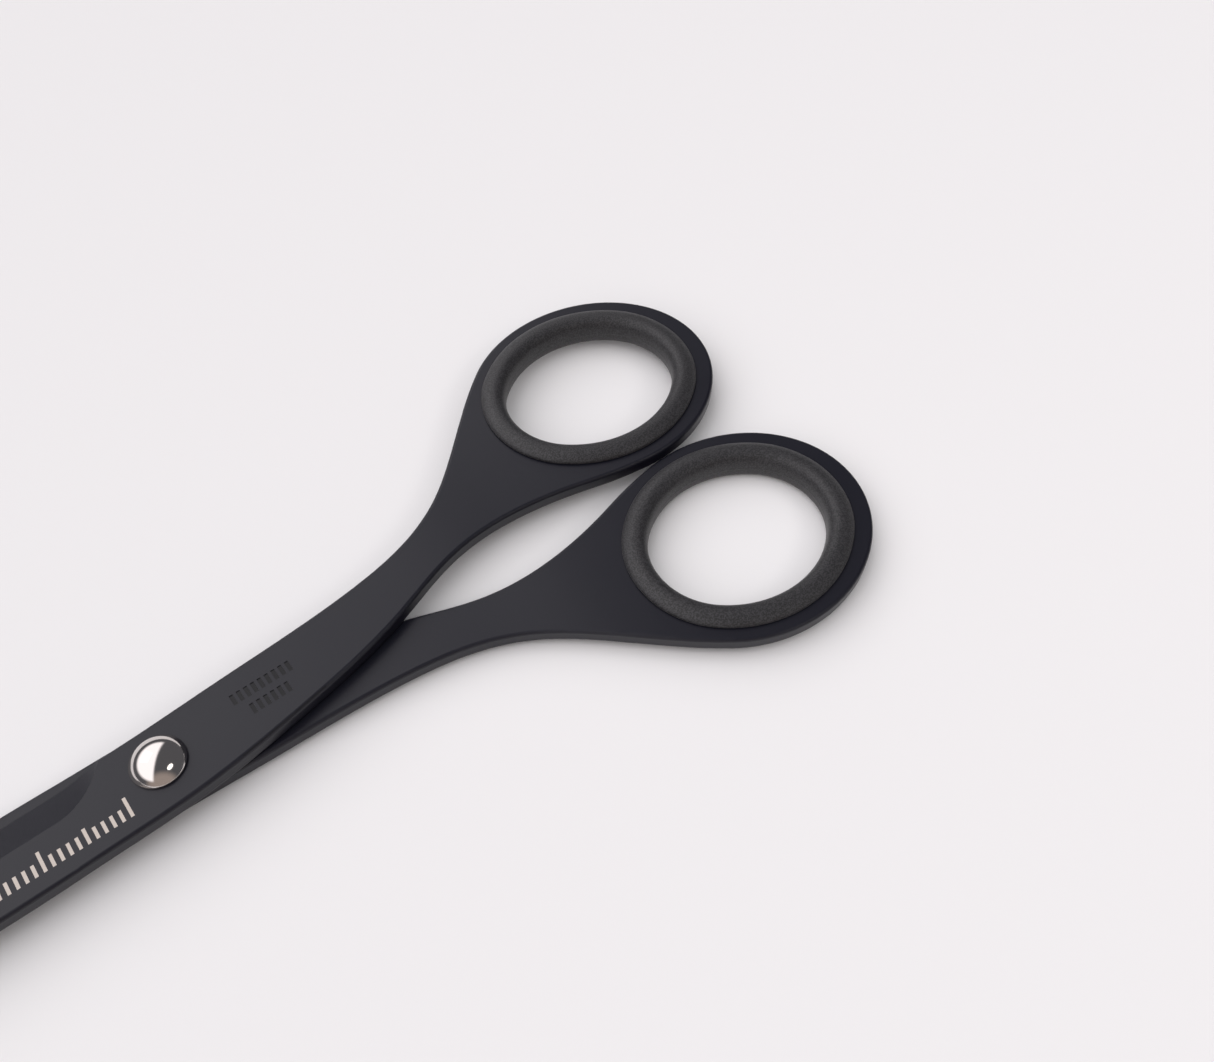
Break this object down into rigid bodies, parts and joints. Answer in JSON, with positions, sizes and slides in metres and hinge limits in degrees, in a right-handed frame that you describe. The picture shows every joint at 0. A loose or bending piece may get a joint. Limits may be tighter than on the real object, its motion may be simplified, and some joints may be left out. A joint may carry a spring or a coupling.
{
  "type": "wick trimming scissors",
  "caption": "Slim straight all-steel scissors for trimming candle wicks, with oval finger bows lined by soft rings, ground blades and a domed pivot.",
  "frame": {"origin": "on the pivot's axis at the end of the pivot stud, in the plane that the closed scissors rest on when they lie on their back", "axes": "+Z is the pivot's axis, up through the domed head; +X runs from the pivot to the bows and -X to the tips; +Y is the side of the front half's bow"},
  "size_m": [0.165, 0.065, 0.0075],
  "materials": {
    "coated_steel": "satin black fluorine type coating over stainless steel",
    "elastomer": "matt moulded elastomer",
    "polished_steel": "polished",
    "washer_plastic": "smooth acetal sheet",
    "spring_steel": "plain"
  },
  "bodies": {
    "rear": {"rear_half": "coated_steel", "rear_bow_ring": "elastomer", "friction_washer": "washer_plastic"},
    "front": {"front_half": "coated_steel", "front_bow_ring": "elastomer", "pivot_stud": "polished_steel", "pivot_nut": "polished_steel", "cone_spring": "spring_steel"}
  },
  "joints": [
    {"name": "pivot", "type": "hinge", "parent": "rear", "child": "front", "pos_m": [0, 0, 0.003], "axis": [0, 0, 1], "range_deg": [0, 70]}
  ]
}
